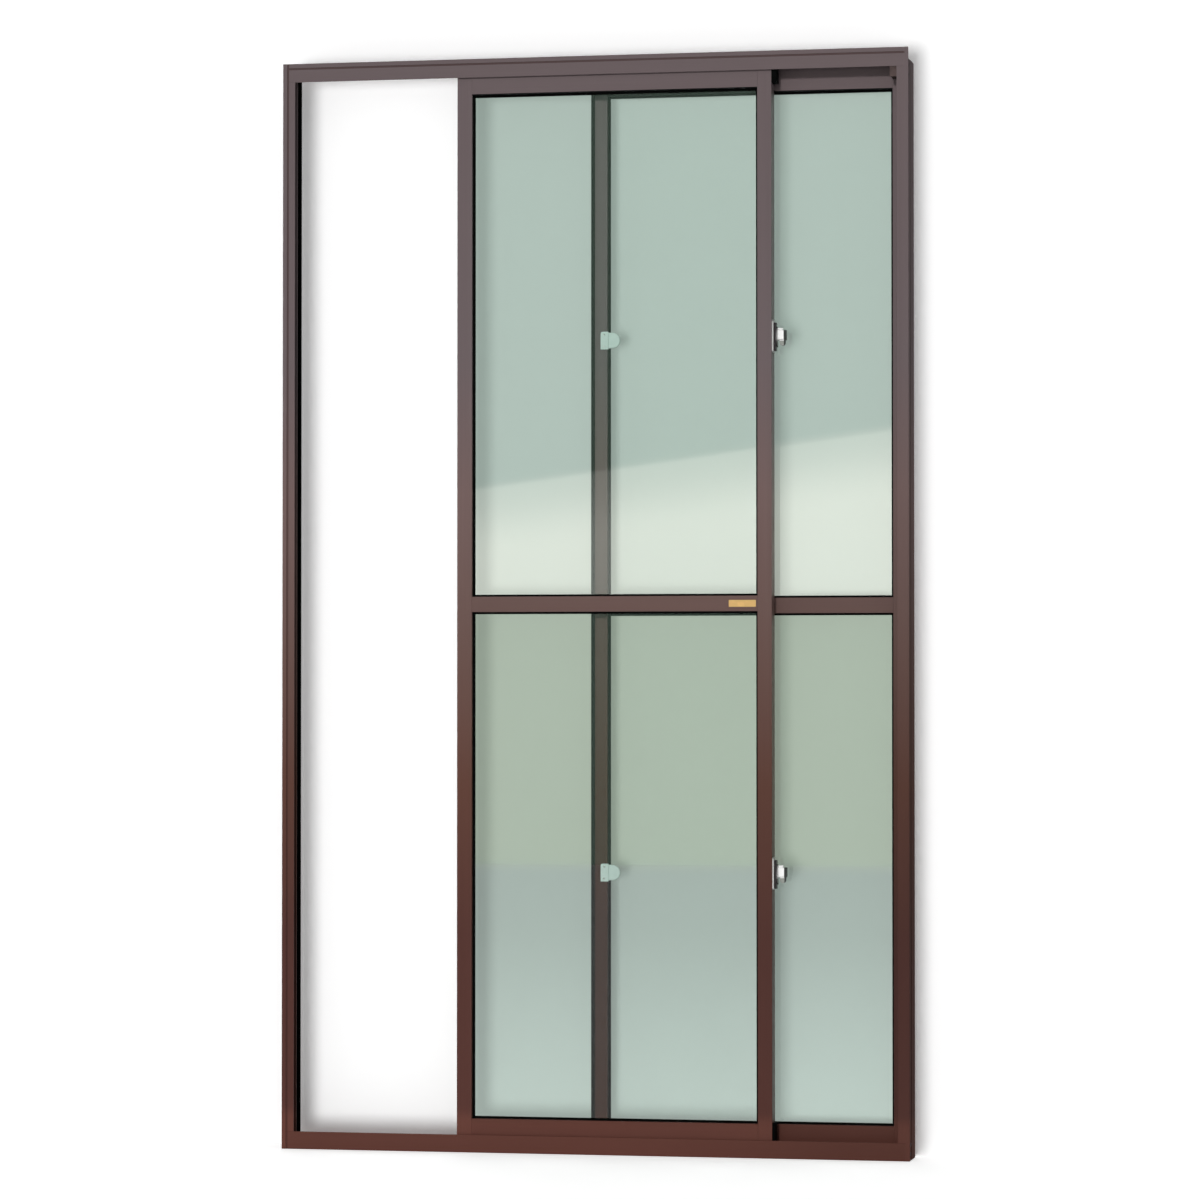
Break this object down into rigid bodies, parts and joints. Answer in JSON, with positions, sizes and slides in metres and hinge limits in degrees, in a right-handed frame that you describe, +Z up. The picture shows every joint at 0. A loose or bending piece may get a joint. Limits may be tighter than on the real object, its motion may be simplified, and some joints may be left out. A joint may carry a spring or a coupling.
{
  "type": "two-leaf sliding patio door",
  "caption": "Tall sliding patio door in a bronze aluminium frame with overlapping glazed leaves, middle rails and crescent latches.",
  "frame": {"origin": "centre of the sill's underside, half way along its length and depth", "axes": "+Z up, +X to the right as seen from the room, +Y away from the room"},
  "size_m": [1.22, 0.082, 2.1],
  "materials": {
    "bronze_frame": "bronze anodised, satin",
    "bronze_leaf": "bronze anodised, satin",
    "green_glass": "pale green toughened glass",
    "black_rubber": "black extruded seal",
    "pile": "black brush pile",
    "nylon": "natural nylon",
    "zinc_steel": "zinc plated",
    "chrome": "polished",
    "dark_plate": "black satin",
    "keeper_zinc": "satin nickel",
    "gold_plate": "bare gold plate"
  },
  "bodies": {
    "frame": {"frame_head": "bronze_frame", "frame_sill": "bronze_frame", "frame_jamb_left": "bronze_frame", "frame_jamb_right": "bronze_frame", "left_jamb_seal": "black_rubber", "left_jamb_bumper": "black_rubber", "right_stop_block": "black_rubber"},
    "front_leaf": {"front_leaf_jamb_stile": "bronze_leaf", "front_leaf_meeting_stile": "bronze_leaf", "front_leaf_top_rail": "bronze_leaf", "front_leaf_middle_rail": "bronze_leaf", "front_leaf_bottom_rail": "bronze_leaf", "front_leaf_upper_glass": "green_glass", "front_leaf_upper_gasket": "black_rubber", "front_leaf_lower_glass": "green_glass", "front_leaf_lower_gasket": "black_rubber", "front_leaf_left_roller": "nylon", "front_leaf_left_roller_carrier": "zinc_steel", "front_leaf_right_roller": "nylon", "front_leaf_right_roller_carrier": "zinc_steel", "front_leaf_head_cap": "black_rubber", "front_leaf_sill_cap": "black_rubber", "front_leaf_interlock": "bronze_leaf", "lower_latch_plate": "dark_plate", "upper_latch_plate": "dark_plate", "front_leaf_bare_plate": "gold_plate"},
    "rear_leaf": {"rear_leaf_meeting_stile": "bronze_leaf", "rear_leaf_jamb_stile": "bronze_leaf", "rear_leaf_top_rail": "bronze_leaf", "rear_leaf_middle_rail": "bronze_leaf", "rear_leaf_bottom_rail": "bronze_leaf", "rear_leaf_upper_glass": "green_glass", "rear_leaf_upper_gasket": "black_rubber", "rear_leaf_lower_glass": "green_glass", "rear_leaf_lower_gasket": "black_rubber", "rear_leaf_left_roller": "nylon", "rear_leaf_left_roller_carrier": "zinc_steel", "rear_leaf_right_roller": "nylon", "rear_leaf_right_roller_carrier": "zinc_steel", "rear_leaf_pile_strip": "pile", "lower_keeper": "keeper_zinc", "upper_keeper": "keeper_zinc"},
    "lower_latch": {"lower_latch_crescent": "chrome"},
    "upper_latch": {"upper_latch_crescent": "chrome"}
  },
  "joints": [
    {"name": "front_leaf_slide", "type": "slide", "parent": "frame", "child": "front_leaf", "axis": [1, 0, 0], "range_m": [-0.329, 0.209]},
    {"name": "rear_leaf_slide", "type": "slide", "parent": "frame", "child": "rear_leaf", "axis": [1, 0, 0], "range_m": [-0.578, 0]},
    {"name": "lower_latch_turn", "type": "hinge", "parent": "front_leaf", "child": "lower_latch", "pos_m": [0.3564, -0.016, 0.536], "axis": [1, 0, 0], "range_deg": [0, 180]},
    {"name": "upper_latch_turn", "type": "hinge", "parent": "front_leaf", "child": "upper_latch", "pos_m": [0.3564, -0.016, 1.5565], "axis": [1, 0, 0], "range_deg": [0, 180]}
  ]
}
